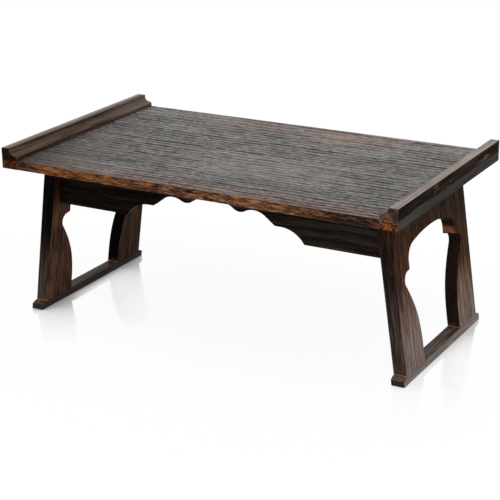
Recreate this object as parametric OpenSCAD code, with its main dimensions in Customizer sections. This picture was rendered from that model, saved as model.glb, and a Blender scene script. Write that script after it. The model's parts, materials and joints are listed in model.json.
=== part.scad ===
// Folding low tea table with raised end rails, carved aprons and two splayed panel legs.
// Millimetres. The origin is on the floor under the middle of the table, X runs along the
// table's length, the front is at -Y and Z points up. Every leg part is drawn for the right
// end and mirrored for the left.

/* [Board] */
// Length of the board
board_l = 600; // [560:10:700]
// Width of the board
board_w = 345; // [320:5:400]
// Thickness of the board
board_t = 13; // [12:0.5:18]
// Height of the board's top face above the floor
board_top = 237.5; // [225:0.5:300]
// Chamfer along the board's long edges
board_chamfer = 0.8; // [0.4:0.1:1.5]

/* [End rails] */
// Height of an end rail above the board's top face
rail_h = 16.4; // [14:0.2:22]
// Width of an end rail where it sits on the board
rail_base_w = 25; // [24:0.5:32]
// Width of an end rail's flat top
rail_top_w = 13.2; // [10:0.2:14]
// Height of the lip at the rail's inner edge
rail_lip_h = 5.2; // [4:0.2:6]
// Fall of the bevel between the cove and the lip
rail_bevel_h = 1.5; // [1:0.1:2]
// Radius of the cove along the rail's inner side
rail_cove_r = 7.2; // [6:0.2:8]

/* [End battens] */
// Width of the batten across each end of the board
batten_w = 25; // [25:0.5:32]
// Thickness of the board's tongue in a batten
tongue_t = 5; // [4:0.2:5.5]
// Length of the board's tongue
tongue_l = 8; // [6:0.5:10]
// Distance of the tongue's ends from the board's long edges
tongue_stop = 12; // [8:1:20]

/* [Legs] */
// Angle that the legs lean outwards
splay = 8; // [5:0.5:10]
// Width of a leg across the table
leg_w = 244; // [236:2:260]
// Thickness of a leg
leg_t = 18.5; // [16:0.5:22]
// Distance of a leg's outer face from the board's end, at the underside of the board
leg_inset = 35; // [30:1:45]
// Height of the pivots that the legs fold about above the aprons' lower edges
pivot_rise = 0.9; // [0.4:0.1:1.2]

/* [Leg window] */
// Width of a post at the foot rail
post_foot_w = 60.5; // [56:0.5:66]
// Width of a post at the window's cusp
post_neck_w = 44.4; // [43:0.2:48]
// Distance below the board of the window's crown
win_crown = 46; // [44:0.5:52]
// Height of the crown's top above the tops of the shoulders
win_crown_drop = 5.5; // [4:0.5:8]
// Radius of the window's shoulders
win_shoulder_r = 22; // [16:1:26]
// Distance below the board of the cusps
win_cusp = 82.5; // [80:0.5:88]
// Height of the step between a cusp and the lobe below it
win_tip_h = 0.6; // [0.4:0.1:1]
// Radius of the round lobe below each cusp
win_lobe_r = 11.3; // [9:0.1:13]
// Distance of a lobe's centre beyond its cusp
win_lobe_over = 6.2; // [5:0.1:8]
// Angle from upright of the straight flank below a lobe
win_flank = 35; // [30:1:40]
// Distance below the board at which the window's sides become upright
win_upright = 196; // [185:1:200]

/* [Foot rails] */
// Distance that a foot rail stands out beyond the leg at either side
foot_overhang = 10; // [4:1:18]
// Height of a foot rail
foot_h = 11; // [10:0.5:16]
// Length of the chamfer at a foot rail's top corners
foot_chamfer_l = 7; // [4:0.5:8]
// Height of the chamfer at a foot rail's top corners
foot_chamfer_h = 3; // [2:0.5:5]

/* [Aprons] */
// Thickness of an apron
apron_t = 12; // [10:0.5:14]
// Height of an apron's ends
apron_h = 63.5; // [60:0.5:64]
// Distance of an apron's outer face behind the legs' edges
apron_setback = 15; // [12:0.5:18]
// Height of an apron at its middle
apron_mid_h = 19; // [17:0.5:21]
// Distance from the middle to the small round teeth
tooth_x = 42; // [38:1:45]
// Height of an apron at the small teeth
tooth_h = 32.5; // [31:0.5:35]
// Radius of a tooth's round tip
tooth_r = 16; // [8:1:18]
// Distance from the middle to the top of each side lobe
lobe_x = 63; // [60:1:68]
// Height of an apron at the top of each side lobe
lobe_h = 27; // [26:0.5:29]
// Radius of a side lobe towards the bracket
lobe_r = 29; // [26:1:32]
// Slope at which a side lobe ends
lobe_turn = 42; // [38:1:45]
// Distance from the middle to the cusp where a bracket starts
bracket_x = 95; // [92:1:99]
// Height of an apron at that cusp
bracket_h = 44; // [43:0.5:47]
// Length of a bracket's level start
bracket_run = 8; // [4:1:12]
// Radius of a bracket's curve
bracket_r = 42.5; // [38:0.5:48]

/* [Underframe] */
// Thickness of a hinge rail at its top
hinge_rail_t = 16; // [14:0.5:20]
// Height of a hinge rail
hinge_rail_h = 58; // [54:0.5:58]
// Height of the bearer that each leg's top stands under
bearer_h = 16; // [16:0.5:20]
// Side of the triangular corner blocks
corner_block = 22; // [16:1:28]
// Height of the corner blocks
corner_block_h = 44; // [30:1:50]
// Side of the square apron blocks
apron_block = 14; // [10:0.5:16]
// Length of an apron block
apron_block_l = 46; // [30:2:60]
// Distance between neighbouring apron blocks
apron_block_pitch = 118; // [100:2:130]
// Diameter of the dowels between aprons and hinge rails
dowel_d = 8; // [6:0.5:9]
// Length of a dowel
dowel_l = 30; // [24:1:36]
// Distance of a dowel below the board
dowel_drop = 13; // [10:0.5:14]
// Depth of a dowel in an apron
dowel_seat = 8.4; // [6:0.2:9]

/* [Hinges] */
// Distance of a hinge from the apron beside it
hinge_inset = 3; // [2:0.5:4]
// Width of a hinge along its pin
hinge_w = 16; // [14:0.5:17]
// Length of a hinge leaf from the pin
leaf_l = 36; // [34:1:38]
// Thickness of a hinge leaf
leaf_t = 1.2; // [1:0.1:1.4]
// Diameter of the hinge knuckles
knuckle_d = 5; // [4.6:0.1:5.2]
// Diameter of a hinge pin
pin_d = 2.4; // [2:0.1:2.6]

/* [Screws] */
// Diameter of a wood screw's shank
screw_d = 3.4; // [3:0.1:4]
// Length of the screws in the end rails, bearers and foot rails
screw_l = 24; // [20:1:24]
// Distance of an end rail's outer screws from the board's long edges
rail_screw_inset = 50; // [30:2:70]
// Distance of a bearer's outer screws from its ends
bearer_screw_inset = 30; // [14:2:50]
// Distance between the two screws in a post's foot
foot_screw_pitch = 36; // [24:1:44]
// Depth of the foot screws' heads below the floor side
foot_screw_sink = 0.6; // [0.5:0.1:2]
// Diameter of a hinge screw's shank
hinge_screw_d = 2.8; // [2.4:0.1:3]
// Length of a hinge screw
hinge_screw_l = 13; // [10:0.5:14]
// Distance of the lowest hinge screw from the pin
hinge_screw_start = 10; // [8:0.5:12]
// Distance between neighbouring hinge screws
hinge_screw_pitch = 10; // [8:0.5:10.5]

/* [Clearances] */
// Gap between a leg's inner face and the apron ends and hinge rail
leg_gap = 0.8; // [0.6:0.1:1]
// Gap between a leg's top and its bearer
top_gap = 0.4; // [0.3:0.1:0.6]
// Gap between a knuckle and the wood beside it
knuckle_gap = 0.3; // [0.3:0.05:0.5]
// Gap between neighbouring knuckles along the pin
knuckle_side_gap = 0.2; // [0.15:0.05:0.3]
// Radial clearance of a pin, screw or dowel in its hole
fit = 0.05; // [0.02:0.01:0.08]
// Gap between a hinge leaf and the sides of its recess
recess_gap = 0.2; // [0.1:0.1:0.4]
// Distance of an end rail's inner side behind the edge of its batten
rail_back = 0.1; // [0.1:0.1:1]
// Gap round the board's tongue in its groove
tongue_gap = 0.1; // [0.05:0.05:0.3]
// Gap between a hinge leaf and the wood that it is screwed to
seat_gap = 0.02; // [0.01:0.01:0.05]

/* [Hidden] */

// Facets of round pieces, and of each arc in an outline
round_fn = 36;
arc_steps = 10;
// Colours of the burnt wood and the hinges
burnt = [0.16, 0.12, 0.10];
burnt_dark = [0.11, 0.09, 0.08];
burnt_warm = [0.24, 0.15, 0.10];
bare_wood = [0.62, 0.47, 0.31];
steel = [0.62, 0.58, 0.48];

board_under = board_top - board_t;
end_x = board_l / 2;
edge_y = board_w / 2;
leg_half = leg_w / 2;
win_foot = leg_half - post_foot_w;
win_neck = leg_half - post_neck_w;
// Outer face of the right leg at the underside of the board
leg_out = end_x - leg_inset;
// Level thickness of a leg
leg_level_t = leg_t / cos(splay);
apron_out = leg_half - apron_setback;
apron_in = apron_out - apron_t;
hinge_y = apron_in - hinge_inset - hinge_w / 2;
// Distance of the hinge pin's axis from the wood on either side
pin_off = knuckle_d / 2 + knuckle_gap;
pivot_drop = apron_h - pivot_rise;
pivot_x = leg_out + (pivot_drop * sin(splay) - leg_t - pin_off) / cos(splay);
pivot_z = board_under - pivot_drop;
// Reach of the blocks that cut a slanted piece at a level plane
far = board_l;

// Level place of the leg's outer or inner face, a distance down from the board
function out_at(down) = leg_out + down * tan(splay);
function in_at(down) = out_at(down) - leg_level_t;
// Points on an arc about c, from angle a0 to a1
function arc(c, r, a0, a1) =
    [for (i = [0:arc_steps]) let (a = a0 + (a1 - a0) * i / arc_steps) c + r * [cos(a), sin(a)]];
// Points on a curve from p0 to p3 with handles p1 and p2
function curve(p0, p1, p2, p3) =
    [for (i = [1:arc_steps]) let (t = i / arc_steps, s = 1 - t)
        s * s * s * p0 + 3 * s * s * t * p1 + 3 * s * t * t * p2 + t * t * t * p3];
function flip(points) = [for (i = [len(points) - 1:-1:0]) [-points[i][0], points[i][1]]];

// Radius and height of a countersunk head on a shank of diameter d
function head_r(d) = 0.95 * d;
function head_h(d) = 0.6 * d;

// A countersunk wood screw that points along +Z, with its head's face at the origin
module screw_form(d, l, grow) {
    tip_l = 1.2 * d;
    cylinder(h = head_h(d), r1 = head_r(d) + grow, r2 = d / 2 + grow, $fn = round_fn);
    cylinder(h = l - tip_l, r = d / 2 + grow, $fn = round_fn);
    translate([0, 0, l - tip_l]) cylinder(h = tip_l, r1 = d / 2 + grow, r2 = d / 8 + grow, $fn = round_fn);
}

module screw(d, l) {
    slot = [d * 1.1, d * 0.2, d * 0.7];
    difference() {
        screw_form(d, l, 0);
        for (turn = [0, 90]) rotate(turn) cube(slot, center = true);
    }
}

// The hole for that screw, open on the head's side
module screw_hole(d, l) {
    screw_form(d, l, fit);
    translate([0, 0, -d]) cylinder(h = d, r = head_r(d) + fit, $fn = round_fn);
}

module both_ends() {
    children();
    mirror([1, 0, 0]) children();
}

module both_sides() {
    children();
    mirror([0, 1, 0]) children();
}

// Keeps what lies between two heights
module between(low, high) {
    intersection() {
        children();
        translate([-far, -far, low]) cube([2 * far, 2 * far, high - low]);
    }
}

// Board
module end_rail_screw_spots() {
    for (y = [rail_screw_inset - edge_y, 0, edge_y - rail_screw_inset]) {
        translate([end_x - rail_top_w / 2, y, board_under]) children();
    }
}

module bearer_screw_spots() {
    for (y = [bearer_screw_inset - leg_half, 0, leg_half - bearer_screw_inset]) {
        translate([(in_at(bearer_h) + out_at(bearer_h)) / 2, y, board_under - bearer_h]) children();
    }
}

// The board's section across its width, carried from one place along the table to another
module board_section(from, to) {
    c = board_chamfer;
    translate([from, 0, board_under]) rotate([90, 0, 90]) linear_extrude(to - from)
        polygon([[c - edge_y, 0], [edge_y - c, 0], [edge_y, c], [edge_y, board_t - c],
            [edge_y - c, board_t], [c - edge_y, board_t], [-edge_y, board_t - c], [-edge_y, c]]);
}

// The tongue on the board's right end, or the groove for it when grown by a gap
module tongue(gap) {
    half_w = edge_y - tongue_stop + gap;
    half_t = tongue_t / 2 + gap;
    translate([end_x - batten_w - tongue_l, -half_w, board_under + board_t / 2 - half_t])
        cube([2 * tongue_l + gap, 2 * half_w, 2 * half_t]);
}

module top_board() {
    color(burnt) difference() {
        union() {
            board_section(batten_w - end_x, end_x - batten_w);
            both_ends() tongue(0);
        }
        both_ends() bearer_screw_spots() screw_hole(screw_d, screw_l);
    }
}

module right_end_batten() {
    color(burnt) difference() {
        board_section(end_x - batten_w, end_x);
        tongue(tongue_gap);
        end_rail_screw_spots() screw_hole(screw_d, screw_l);
    }
}

// End rails
module right_end_rail() {
    cove = [-rail_top_w - rail_cove_r, rail_lip_h + rail_bevel_h + rail_cove_r];
    foot = rail_back - rail_base_w;
    profile = concat([[0, 0], [0, rail_h], [-rail_top_w, rail_h]], arc(cove, rail_cove_r, 0, -90),
        [[foot, rail_lip_h], [foot, 0]]);
    color(burnt_warm) difference() {
        translate([end_x, edge_y, board_top]) rotate([90, 0, 0]) linear_extrude(board_w) polygon(profile);
        end_rail_screw_spots() screw_hole(screw_d, screw_l);
    }
}

module end_rail_screws() {
    color(steel) both_ends() end_rail_screw_spots() screw(screw_d, screw_l);
}

// Aprons
// Radius of a hollow that runs on from a tooth's tip and ends level, this far away and this much higher
function hollow_r(run, rise) =
    (run * run + pow(rise - tooth_r, 2) - tooth_r * tooth_r) / (2 * rise);

// Lower edge from the middle to the right-hand bracket's corner, as [x, distance below the board]
function apron_edge() =
    let (
        tooth = [tooth_x, tooth_h - tooth_r],
        mid_r = hollow_r(tooth_x, tooth_h - apron_mid_h),
        mid_a = asin(tooth_x / (mid_r + tooth_r)),
        run = lobe_x - tooth_x,
        in_r = hollow_r(run, tooth_h - lobe_h),
        in_a = asin(run / (in_r + tooth_r)),
        drop = apron_h - bracket_h
    )
    concat(
        arc([0, apron_mid_h + mid_r], mid_r, -90, mid_a - 90),
        arc(tooth, tooth_r, 90 + mid_a, 90 - in_a),
        arc([lobe_x, lobe_h + in_r], in_r, -90 - in_a, -90),
        arc([lobe_x, lobe_h + lobe_r], lobe_r, -90, lobe_turn - 90),
        [[bracket_x, bracket_h]],
        arc([bracket_x + bracket_run, bracket_h + bracket_r], bracket_r,
            -90, acos(1 - drop / bracket_r) - 90));

module apron() {
    edge = apron_edge();
    half = concat([for (p = edge) [p[0], -p[1]]],
        [[in_at(apron_h) - leg_gap, -apron_h], [in_at(0) - leg_gap, 0]]);
    difference() {
        translate([0, -apron_in, board_under]) rotate([90, 0, 0]) linear_extrude(apron_t)
            polygon(concat(flip(half), half));
        both_ends() dowel_spot() dowel(fit);
    }
}

module front_apron() {
    color(burnt_dark) apron();
}

module back_apron() {
    color(burnt_dark) mirror([0, 1, 0]) apron();
}

// Underframe
module dowel(grow = 0) {
    cylinder(h = dowel_l + 2 * grow, r = dowel_d / 2 + grow, center = true, $fn = round_fn);
}

// The dowel at the front end of the right hinge rail
module dowel_spot() {
    translate([in_at(dowel_drop) - leg_gap - hinge_rail_t / 2 - dowel_drop * tan(splay) / 2,
        -apron_in - dowel_seat + dowel_l / 2, board_under - dowel_drop])
        rotate([90, 0, 0]) children();
}

module frame_dowels() {
    color(bare_wood) both_ends() both_sides() dowel_spot() dowel();
}

// Frame of one hinge: origin at the pin's axis, X out towards the leg, Z up along the leg
module hinge_spot() {
    translate([pivot_x, 0, pivot_z]) rotate([0, -splay, 0]) children();
}

module right_hinge_rail() {
    face = in_at(0) - leg_gap;
    foot = in_at(hinge_rail_h) - leg_gap;
    color(burnt_dark) difference() {
        translate([0, apron_in, board_under]) rotate([90, 0, 0]) linear_extrude(2 * apron_in)
            polygon([[face - hinge_rail_t, 0], [face, 0], [foot, -hinge_rail_h],
                [face - hinge_rail_t, -hinge_rail_h]]);
        both_sides() {
            hinge_spot() translate([-pin_off, -hinge_y - hinge_w / 2 - recess_gap, -leaf_l])
                cube([leg_t, hinge_w + 2 * recess_gap, 2 * leaf_l + recess_gap]);
            frame_leaf_screw_spots() screw_hole(hinge_screw_d, hinge_screw_l);
            dowel_spot() dowel(fit);
        }
    }
}

module right_bearer() {
    color(burnt_dark) difference() {
        translate([0, leg_half, board_under]) rotate([90, 0, 0]) linear_extrude(leg_w)
            polygon([[in_at(0) - leg_gap, 0], [out_at(0), 0], [out_at(bearer_h), -bearer_h],
                [in_at(bearer_h) - leg_gap, -bearer_h]]);
        bearer_screw_spots() screw_hole(screw_d, screw_l);
    }
}

module bearer_screws() {
    color(steel) both_ends() bearer_screw_spots() screw(screw_d, screw_l);
}

module corner_blocks() {
    inner_x = in_at(0) - leg_gap - hinge_rail_t;
    color(bare_wood) both_ends() both_sides()
        translate([inner_x, -apron_in, board_under - corner_block_h]) linear_extrude(corner_block_h)
            polygon([[0, 0], [-corner_block, 0], [0, corner_block]]);
}

module apron_blocks() {
    color(bare_wood) both_sides() for (x = [-apron_block_pitch, 0, apron_block_pitch]) {
        translate([x - apron_block_l / 2, -apron_in, board_under - apron_block])
            cube([apron_block_l, apron_block, apron_block]);
    }
}

// Hinges: the right-hand front one is drawn, with the leg's leaf on its outer side
module leaf_screw_spots() {
    for (i = [0:2]) translate([0, -hinge_y, hinge_screw_start + i * hinge_screw_pitch]) children();
}

module frame_leaf_screw_spots() {
    hinge_spot() leaf_screw_spots() translate([seat_gap + leaf_t - pin_off, 0, 0]) rotate([0, -90, 0])
        children();
}

module leg_leaf_screw_spots() {
    hinge_spot() leaf_screw_spots() translate([pin_off - leaf_t - seat_gap, 0, 0]) rotate([0, 90, 0])
        children();
}

// A round along the pin, between two places across the hinge
module along_pin(from, to, r) {
    translate([0, from, 0]) rotate([-90, 0, 0]) cylinder(h = to - from, r = r, $fn = round_fn);
}

// One leaf: a plate with its own knuckles, cut clear of the other leaf's
module leaf(plate_x, own, other) {
    translate([0, -hinge_y, 0]) difference() {
        union() {
            translate([plate_x, -hinge_w / 2, 0]) cube([leaf_t, hinge_w, leaf_l]);
            for (i = own) knuckle(i, knuckle_side_gap / 2, knuckle_d / 2);
        }
        for (i = other) knuckle(i, -knuckle_side_gap / 2, knuckle_d / 2 + knuckle_gap);
        along_pin(-hinge_w, hinge_w, pin_d / 2 + fit);
    }
}

// The knuckle in one third of the hinge's width, drawn in at both ends
module knuckle(i, inset, r) {
    third = hinge_w / 3;
    along_pin((i - 1.5) * third + inset, (i - 0.5) * third - inset, r);
}

module right_frame_leaf() {
    color(steel) difference() {
        hinge_spot() leaf(seat_gap - pin_off, [0, 2], [1]);
        frame_leaf_screw_spots() screw_hole(hinge_screw_d, hinge_screw_l);
    }
}

module right_leg_leaf() {
    color(steel) difference() {
        hinge_spot() leaf(pin_off - leaf_t - seat_gap, [1], [0, 2]);
        leg_leaf_screw_spots() screw_hole(hinge_screw_d, hinge_screw_l);
    }
}

module right_hinge_pin() {
    color(steel) hinge_spot() along_pin(-hinge_y - hinge_w / 2, -hinge_y + hinge_w / 2, pin_d / 2);
}

module frame_leaf_screws() {
    color(steel) both_ends() both_sides() frame_leaf_screw_spots() screw(hinge_screw_d, hinge_screw_l);
}

module right_leg_leaf_screws() {
    color(steel) both_sides() leg_leaf_screw_spots() screw(hinge_screw_d, hinge_screw_l);
}

// Legs: outlines lie in the plane of the leg as [across, up from the board's underside],
// measured along the leg's slope, and the slab takes them to the right end
module leg_slab() {
    translate([leg_out, 0, board_under]) rotate([0, -splay, 0]) translate([-leg_t, 0, 0])
        rotate([90, 0, 90]) linear_extrude(leg_t) children();
}

function slope(down) = -down / cos(splay);
// Centre of the back shoulder's arc, and its angle where it crosses the joint with the crown
shoulder = [win_neck, slope(win_crown + win_crown_drop)] - [win_shoulder_r, win_shoulder_r];
shoulder_turn = acos((win_foot - shoulder[0]) / win_shoulder_r);

// The window's side on the back post, from the joint with the crown down to the foot. Its long
// lower curve leaves the lobe's flank in line and meets the foot upright, with even handles.
function window_side() =
    let (
        lobe = [win_neck + win_lobe_over, slope(win_cusp) - win_lobe_r - win_tip_h],
        flank = lobe + win_lobe_r * [cos(win_flank), -sin(win_flank)],
        foot = [win_foot, slope(win_upright)],
        hand = (flank[1] - foot[1]) * 0.42
    )
    concat(
        arc(shoulder, win_shoulder_r, shoulder_turn, 0),
        [[win_neck, slope(win_cusp)]],
        arc(lobe, win_lobe_r, 90, -win_flank),
        curve(flank, flank - hand * [sin(win_flank), cos(win_flank)], foot + [0, hand], foot));

module post() {
    under = slope(board_under + foot_h);
    side = window_side();
    difference() {
        between(foot_h, board_under - bearer_h - top_gap) leg_slab()
            polygon(concat([[leg_half, 0], [win_foot, 0]], side, [[win_foot, under], [leg_half, under]]));
        both_sides() leg_leaf_screw_spots() screw_hole(hinge_screw_d, hinge_screw_l);
        foot_screw_spots() screw_hole(screw_d, screw_l);
    }
}

module right_back_post() {
    color(burnt_warm) post();
}

module right_front_post() {
    color(burnt_warm) mirror([0, 1, 0]) post();
}

module right_crown() {
    sag = slope(win_crown) - shoulder[1] - win_shoulder_r * sin(shoulder_turn);
    r = (win_foot * win_foot + sag * sag) / (2 * sag);
    a = asin(win_foot / r);
    color(burnt_warm) between(0, board_under - bearer_h - top_gap) leg_slab()
        polygon(concat([[win_foot, 0], [-win_foot, 0]],
            arc([0, slope(win_crown) - r], r, 90 + a, 90 - a)));
}

module foot_screw_spots() {
    middle = (win_foot + leg_half) / 2;
    for (y = [middle - foot_screw_pitch / 2, middle + foot_screw_pitch / 2]) {
        translate([out_at(board_under) - leg_level_t / 2, y, 0]) rotate([0, -splay, 0])
            translate([0, 0, foot_screw_sink]) children();
    }
}

module right_foot_rail() {
    half = leg_half + foot_overhang;
    c = foot_chamfer_l;
    color(burnt) difference() {
        intersection() {
            leg_slab() square([2 * half, 3 * board_under], center = true);
            rotate([90, 0, 90]) linear_extrude(far)
                polygon([[-half, 0], [half, 0], [half, foot_h - foot_chamfer_h], [half - c, foot_h],
                    [c - half, foot_h], [-half, foot_h - foot_chamfer_h]]);
        }
        both_sides() foot_screw_spots() screw_hole(screw_d, screw_l);
    }
}

module right_foot_screws() {
    color(steel) both_sides() foot_screw_spots() screw(screw_d, screw_l);
}

module left() {
    mirror([1, 0, 0]) children();
}

module back() {
    mirror([0, 1, 0]) children();
}

top_board();
left() right_end_batten();  // left_end_batten
right_end_batten();
left() right_end_rail();  // left_end_rail
right_end_rail();
end_rail_screws();
front_apron();
back_apron();
left() right_hinge_rail();  // left_hinge_rail
right_hinge_rail();
frame_dowels();
left() right_bearer();  // left_bearer
right_bearer();
bearer_screws();
corner_blocks();
apron_blocks();
left() right_frame_leaf();  // left_front_frame_leaf
left() back() right_frame_leaf();  // left_back_frame_leaf
right_frame_leaf();  // right_front_frame_leaf
back() right_frame_leaf();  // right_back_frame_leaf
left() right_leg_leaf();  // left_front_leg_leaf
left() back() right_leg_leaf();  // left_back_leg_leaf
right_leg_leaf();  // right_front_leg_leaf
back() right_leg_leaf();  // right_back_leg_leaf
left() right_hinge_pin();  // left_front_hinge_pin
left() back() right_hinge_pin();  // left_back_hinge_pin
right_hinge_pin();  // right_front_hinge_pin
back() right_hinge_pin();  // right_back_hinge_pin
frame_leaf_screws();
left() right_leg_leaf_screws();  // left_leg_leaf_screws
right_leg_leaf_screws();
left() right_front_post();  // left_front_post
left() right_back_post();  // left_back_post
left() right_crown();  // left_crown
left() right_foot_rail();  // left_foot_rail
left() right_foot_screws();  // left_foot_screws
right_front_post();
right_back_post();
right_crown();
right_foot_rail();
right_foot_screws();
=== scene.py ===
"""Folding low tea table of burnt, brushed wood: its looks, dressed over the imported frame.

Each wooden piece that shows is a closed surface worked out with numpy. Its section has four sides
with rounded arrises and is carried along the piece. All lengths are metres on the frame's axes:
X along the table, the front at -Y, Z up from the floor.
"""
import json
import math
from functools import partial

import bpy
import numpy as np
from mathutils import Matrix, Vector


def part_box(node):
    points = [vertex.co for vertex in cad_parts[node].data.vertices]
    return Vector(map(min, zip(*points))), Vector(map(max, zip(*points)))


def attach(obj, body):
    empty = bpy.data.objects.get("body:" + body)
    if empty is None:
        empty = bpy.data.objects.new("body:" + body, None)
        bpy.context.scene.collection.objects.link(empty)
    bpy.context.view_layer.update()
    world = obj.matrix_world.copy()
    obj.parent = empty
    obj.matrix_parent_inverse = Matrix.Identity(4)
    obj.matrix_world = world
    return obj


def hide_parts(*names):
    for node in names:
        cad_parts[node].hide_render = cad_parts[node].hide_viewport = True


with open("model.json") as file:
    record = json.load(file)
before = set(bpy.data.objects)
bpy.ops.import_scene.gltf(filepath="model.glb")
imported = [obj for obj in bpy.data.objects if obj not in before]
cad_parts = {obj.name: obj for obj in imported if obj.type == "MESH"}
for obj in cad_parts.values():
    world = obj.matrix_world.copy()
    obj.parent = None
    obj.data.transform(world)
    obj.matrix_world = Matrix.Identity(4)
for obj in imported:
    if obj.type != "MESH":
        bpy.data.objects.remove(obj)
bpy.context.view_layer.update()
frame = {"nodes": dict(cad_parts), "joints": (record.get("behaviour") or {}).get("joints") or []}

# Sizes read off the frame
MM = 0.001


def span(node):
    """Lowest and highest corner of a frame node, as arrays."""
    low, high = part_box(node)
    return np.array(low), np.array(high)


board_low, board_high = span("top_board")
batten_low, batten_high = span("right_end_batten")
rail_low, rail_high = span("right_end_rail")
post_low, post_high = span("right_back_post")
foot_low, foot_high = span("right_foot_rail")
apron_low, apron_high = span("front_apron")
bearer_low, bearer_high = span("right_bearer")

end_x = batten_high[0]
joint_x = batten_low[0]
edge_y = board_high[1]
top_z = board_high[2]
under_z = board_low[2]
leg_half = post_high[1]
win_foot = post_low[1]
foot_top = foot_high[2]
apron_height = under_z - apron_low[2]
splay = math.radians(frame["joints"][0]["range_deg"][1] - 90)
lean = math.tan(splay)
leg_out = foot_high[0] - under_z * lean
leg_level = leg_out + (under_z - foot_top) * lean - foot_low[0]
leg_thick = leg_level * math.cos(splay)
# How far down the leg's outer face its top and its foot are cut level
leg_head = (under_z - post_high[2]) / math.cos(splay)
leg_foot = (under_z - foot_top) / math.cos(splay)

# Sizes of the sawn outlines and the moulding, which the frame's boxes don't give. The window's
# crown, cusp and upright lie this far below the board. An apron's tooth, side lobe and bracket are
# points (distance from its middle, height of the apron there)
WIN_CROWN = 46 * MM
WIN_CROWN_DROP = 5.5 * MM
WIN_SHOULDER_R = 22 * MM
WIN_CUSP = 82.5 * MM
WIN_CUSP_BLUNT = (0.3 * MM, 0.4 * MM)
WIN_TIP = 0.6 * MM
WIN_LOBE_R = 11.3 * MM
WIN_LOBE_OVER = 6.2 * MM
WIN_FLANK = math.radians(35)
WIN_FLANK_PULL = 0.42
WIN_UPRIGHT = 196 * MM
POST_NECK = 44.4 * MM
APRON_MID = 19 * MM
TOOTH = (42 * MM, 32.5 * MM)
TOOTH_R = 16 * MM
SIDE_LOBE = (63 * MM, 27 * MM)
SIDE_LOBE_R = 29 * MM
SIDE_LOBE_TURN = math.radians(42)
BRACKET = (95 * MM, 44 * MM)
BRACKET_RUN = 8 * MM
BRACKET_R = 42.5 * MM
RAIL_TOP_W = 13.2 * MM
RAIL_LIP = 5.2 * MM
RAIL_BEVEL = 1.5 * MM
RAIL_COVE_R = 7.2 * MM
FOOT_CHAMFER = (7 * MM, 3 * MM)
FOOT_SCREW_PITCH = 36 * MM
FOOT_SCREW_SINK = 0.62 * MM
FOOT_SCREW_R = 3.28 * MM

# Radii of the arrises and of the ends' edges, and how wide a band wears beside an arris
ARRIS_R = 0.8 * MM
ARRIS_BAND = 1.6 * MM
END_R = 0.4 * MM
POST_END_R = 0.3 * MM
RAIL_END_R = 0.3 * MM
BATTEN_FIT_R = 0.25 * MM
BEARER_R = 0.2 * MM
# The arris of a rail's lip: its radius, how far its centre lies below the lip, and its arc's turns
RAIL_LIP_R = 0.6 * ARRIS_R
RAIL_LIP_SINK = 0.4 * ARRIS_R
RAIL_LIP_TURNS = (1.9, 0.75 * math.pi)
# How far a post's straight parts keep from the window's outline, above it and below it
POST_GAPS = (0.4 * MM, 0.5 * MM)

# The table's ends as a sign on X, and its front and back as a sign on Y
ENDS = {"left": -1, "right": 1}
FACINGS = {"front": -1, "back": 1}


# Wood's grain


LATTICE = np.random.default_rng(11).random((48, 48, 48))
RING_DEPTHS = np.random.default_rng(5).random(997) ** 1.5

# The shares of a ring over which its valley opens and closes, and the noise's cells to a ring
VALLEY_OPENS = (0.10, 0.5)
VALLEY_CLOSES = (0.58, 0.95)
RING_CELLS = 0.45

# Each wave bends the grain: its pull, its turns along, across and through the wood, and its phase
WAVES = (
    (3.0 * MM, (7.0, 3.0, 2.0), 0.4),
    (1.4 * MM, (17.0, -9.0, 5.0), 1.9),
    (0.6 * MM, (43.0, 17.0, -11.0), 4.2),
)


def lattice_noise(p):
    """Value noise: seeded numbers on a cubic lattice, blended smoothly between its eight
    corners."""
    cell = np.floor(p).astype(int)
    part = p - cell
    part = part * part * (3 - 2 * part)
    total = 0.0
    for corner in np.ndindex(2, 2, 2):
        share = np.prod(np.where(corner, part, 1 - part), axis=-1)
        i, j, k = ((cell[..., n] + corner[n]) % len(LATTICE) for n in range(3))
        total = total + share * LATTICE[i, j, k]
    return total


def grain_noise(p, along, across, shift):
    """Value noise with this many cells to the metre along and across the grain, moved by a
    shift."""
    return lattice_noise(p * np.array([along, across, across]) + shift)


def smooth(low, high, x):
    """Smooth step from 0 to 1 between two values."""
    t = np.clip((x - low) / (high - low), 0, 1)
    return t * t * (3 - 2 * t)


class Wood:
    """How one piece's wood lies: the turn that lays its grain along X, the pith line, the spacing
    of the rings, the wander of the lines between them, and the depth that is brushed out."""

    def __init__(self, turn, pith, spacing, wander, relief):
        self.turn = turn
        self.pith = pith
        self.spacing = spacing
        self.wander = wander
        self.relief = relief
        self.matrix = np.array(Matrix.Rotation(turn[1], 3, "Y") @ Matrix.Rotation(turn[2], 3, "Z"))

    def valleys(self, points):
        """Where soft wood is brushed out, from 0 on a ridge to 1. The distance from the pith, bent
        by the waves and by value noise, is cut into rings. Each ring has a narrow valley with a
        depth of its own, broken by more noise into dashes along the grain and into patches."""
        p = points @ self.matrix.T
        bend = sum(pull * np.sin(p @ np.array(k) + phase) for pull, k, phase in WAVES)
        across = p[..., 1] - self.pith[0] + bend
        deep = p[..., 2] - self.pith[1] + bend
        far = np.hypot(across, deep) / self.spacing
        cells = RING_CELLS / self.spacing
        drift = (grain_noise(p, along=7, across=0.5 * cells, shift=60)
                 + 0.4 * grain_noise(p, along=40, across=cells, shift=90))
        turns = far + self.wander * drift
        part = turns - np.floor(turns)
        line = smooth(*VALLEY_OPENS, part) * (1 - smooth(*VALLEY_CLOSES, part))
        depth = 0.45 + 0.55 * RING_DEPTHS[np.floor(turns).astype(int) % len(RING_DEPTHS)]
        dashes = smooth(0.30, 0.62, grain_noise(p, along=75, across=2 * cells, shift=30))
        patches = smooth(0.25, 0.55, grain_noise(p, along=12, across=0.4 * cells, shift=10))
        return line * depth * (0.45 + 0.55 * dashes) * (0.6 + 0.4 * patches)


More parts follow.
